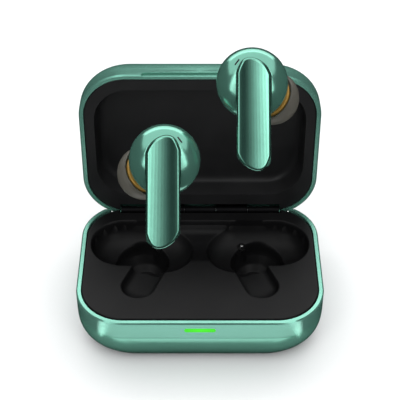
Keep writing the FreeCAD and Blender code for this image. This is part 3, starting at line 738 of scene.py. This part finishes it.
def tray_depth(x, y):
    """Depth of the tray below its top at each point, in millimetres; one side mirrors the other."""
    left = -np.abs(x)
    oval_length = TIP_X + POCKET_R - POCKET_INNER_X
    oval_at = (-POCKET_INNER_X - oval_length / 2, REAR_Y - POCKET_R)
    oval = inside_distance(left, y, oval_at, oval_length, 2 * POCKET_R, POCKET_R - 0.1)
    lobe = FRONT_BOWL_R - np.hypot(left + HEAD_X, y - FRONT_BOWL_Y)
    lean = math.radians(SLANT)
    middle = CHANNEL_END - CHANNEL_LENGTH / 2
    channel_at = (SEAT[0] - math.sin(lean) * middle, SEAT[1] - math.cos(lean) * middle)
    channel = inside_distance(left, y, channel_at, CHANNEL_LENGTH, 2 * CHANNEL_HALF,
                              CHANNEL_HALF - 0.05, math.pi / 2 - lean)
    scoop_rear = REAR_Y - 0.1
    scoop = inside_distance(x, y, (0, (scoop_rear + SCOOP_FRONT) / 2), 2 * HEAD_X,
                            scoop_rear - SCOOP_FRONT, SCOOP_CORNER)
    ramp = np.sin(np.clip((y - SCOOP_FRONT) / SCOOP_RAMP, 0, 1) * math.pi / 2)
    front = np.sin(np.clip((y - REAR_Y + 2 * POCKET_R) / POCKET_RAMP, 0, 1) * math.pi / 2)
    outer = np.clip((OUTER_X - left) / OUTER_RAMP, 0, 1)
    depth = bowl_depth(oval, POCKET_R, HEAD_DEPTH) * (1 - outer * (1 - front))
    depth = soft_max(depth, bowl_depth(lobe, FRONT_BOWL_R, FRONT_BOWL_DEPTH), HEAD_BLEND)
    depth = soft_max(depth, bowl_depth(channel, CHANNEL_HALF, STEM_DEPTH), BLEND)
    depth = soft_max(depth, bowl_depth(scoop, SCOOP_WALL, SCOOP_DEPTH) * ramp, BLEND)
    depth = np.maximum(depth, well_depth(left, y))
    low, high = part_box("left_charging_pin")
    pin = (low + high) / 2 / MM
    boss = np.clip((BOSS_R - np.hypot(left - pin.x, y - pin.y)) / BOSS_EDGE, 0, 1)
    boss = boss * boss * (3 - 2 * boss)
    beside_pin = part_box("inner_tray")[1].z / MM - high.z / MM + PIN_PROUD
    depth = depth * (1 - boss) + beside_pin * boss
    knuckle_room = (y > HINGE_FRONT_Y) & (np.abs(x) < KNUCKLE_HALF_X)
    relief = (y > RELIEF_Y) & (np.abs(x) < RELIEF_HALF_X)
    rear = np.where(relief, RELIEF_DEPTH, KNUCKLE_DEPTH)
    return np.where(knuckle_room | relief, np.maximum(depth, rear), depth)


def tray_ring(inset):
    """Points of the tray's outline pulled in towards its long middle line."""
    low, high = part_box("inner_tray")
    hx, hy = (high.x - low.x) / 2 / MM, (high.y - low.y) / 2 / MM
    radius = TRAY_CORNER * (1 - inset / hy)
    hx, hy = hx - inset, hy - inset
    points = []
    for sx, sy, start in ((1, -1, -90), (1, 1, 0), (-1, 1, 90), (-1, -1, 180)):
        cx, cy = sx * (hx - radius), sy * (hy - radius)
        for k in range(TRAY_ARC_POINTS):
            a = math.radians(start + 90 * k / TRAY_ARC_POINTS)
            points.append((cx + radius * math.cos(a), cy + radius * math.sin(a)))
        a = math.radians(start + 90)
        here = (cx + radius * math.cos(a), cy + radius * math.sin(a))
        nx, ny = {(1, -1): (hx, hy - radius), (1, 1): (radius - hx, hy),
                  (-1, 1): (-hx, radius - hy), (-1, -1): (hx - radius, -hy)}[(sx, sy)]
        for k in range(TRAY_LINE_POINTS):
            t = k / TRAY_LINE_POINTS
            points.append((here[0] + (nx - here[0]) * t, here[1] + (ny - here[1]) * t))
    return points


def build_tray():
    """Tray whose pockets are sunk into one smooth surface, with a rounded outer edge."""
    low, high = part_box("inner_tray")
    top = high.z / MM
    half_depth = (high.y - low.y) / 2 / MM
    turns = [math.pi / 2 * k / TRAY_EDGE_STEPS for k in range(TRAY_EDGE_STEPS + 1)]
    insets = [TRAY_EDGE_R * (1 - math.cos(a)) for a in turns]
    drops = [TRAY_EDGE_R * (1 - math.sin(a)) for a in turns]
    insets += [TRAY_EDGE_R + (half_depth - TRAY_EDGE_R) * (k + 1) / TRAY_RINGS
               for k in range(TRAY_RINGS)]
    drops += [0] * TRAY_RINGS
    rings = [tray_ring(inset) for inset in insets]
    flat = np.array(rings)
    depth = tray_depth(flat[:, :, 0], flat[:, :, 1]) + np.array(drops)[:, None]
    bm = bmesh.new()
    layers = []
    for thickness, every in ((0, 1), (TRAY_SKIN, UNDERSIDE_EVERY)):
        layer = []
        for ring, row in list(zip(rings, depth))[::every]:
            layer.append([bm.verts.new(Vector((px, py, top - d - thickness)) * MM)
                          for (px, py), d in zip(ring, row)])
        layers.append(layer)
    total = len(rings[0])
    for layer in layers:
        for outer, inner in zip(layer, layer[1:]):
            for i in range(total):
                j = (i + 1) % total
                bm.faces.new((outer[i], outer[j], inner[j], inner[i]))
    upper, lower = layers[0][0], layers[1][0]
    for i in range(total):
        j = (i + 1) % total
        bm.faces.new((lower[i], lower[j], upper[j], upper[i]))
    bmesh.ops.remove_doubles(bm, verts=bm.verts, dist=0.004 * MM)
    tray = mesh_object("tray_surface", bm, TRAY_BLACK, 75)
    return link(tray, "case", "black_satin", "inner_tray")


# ======== studio ========
def add_floor():
    bm = bmesh.new()
    bmesh.ops.create_grid(bm, x_segments=4, y_segments=4, size=2.5)
    floor = mesh_object("floor", bm, FLOOR)
    floor.location.z = cad_bounds[0][2]
    bpy.context.scene.collection.objects.link(floor)
    floor.visible_glossy = False


def area_light(name, width, height, power):
    """Rectangular light that the camera doesn't see."""
    data = bpy.data.lights.new(name, "AREA")
    data.shape = "RECTANGLE"
    data.size = width
    data.size_y = height
    data.energy = power
    lamp = bpy.data.objects.new(name, data)
    lamp.visible_camera = False
    bpy.context.scene.collection.objects.link(lamp)
    return lamp


def aimed_light(name, azimuth, elevation, width, height, power):
    """Light on a sphere round the object, turned towards it."""
    az, el = math.radians(azimuth), math.radians(elevation)
    away = Vector((math.sin(az) * math.cos(el), -math.cos(az) * math.cos(el), math.sin(el)))
    lamp = area_light(name, width, height, power)
    lamp.location = LIGHT_TARGET + away * LIGHT_DISTANCE
    lamp.rotation_euler = (-away).to_track_quat("-Z", "Y").to_euler()


def table_light(name, x, y, width, depth, radiance):
    """Light that lies on the table by the case and shines upwards."""
    lamp = area_light(name, width, depth, math.pi * width * depth * radiance)
    lamp.location = (x, y, 1 * MM)
    lamp.rotation_euler = (math.pi, 0, 0)


def add_studio():
    for name, elevation, width, height, power in PANELS:
        aimed_light(name, 180, elevation, width, height, power)
    for k in range(CARDS):
        first, step, curve = CARD_RADIANCE
        radiance = first + step * k + curve * k * k
        power = math.pi * CARD_SIZE[0] * CARD_SIZE[1] * radiance
        for side in (-1, 1):
            azimuth = side * (CARD_AZIMUTH + CARD_STEP * k)
            aimed_light("card", azimuth, CARD_ELEVATION, *CARD_SIZE, power)
    for light in TABLE_LIGHTS:
        table_light(*light)
    world = bpy.data.worlds.new("studio")
    world.use_nodes = True
    background = world.node_tree.nodes["Background"]
    background.inputs["Color"].default_value = (*WORLD_COLOR, 1)
    background.inputs["Strength"].default_value = WORLD_LIGHT
    world.cycles_visibility.glossy = False
    bpy.context.scene.world = world
    bpy.context.scene.view_settings.view_transform = "Standard"


def add_camera():
    data = bpy.data.cameras.new("camera")
    data.lens = LENS
    data.sensor_width = SENSOR_WIDTH
    data.clip_start = 0.01
    camera = bpy.data.objects.new("camera", data)
    camera.location = CAMERA_AT
    camera.rotation_euler = (math.radians(CAMERA_PITCH), 0, 0)
    bpy.context.scene.collection.objects.link(camera)
    bpy.context.scene.camera = camera


paint_cad_nodes()
build_tray()
build_buds()
add_floor()
add_studio()
add_camera()
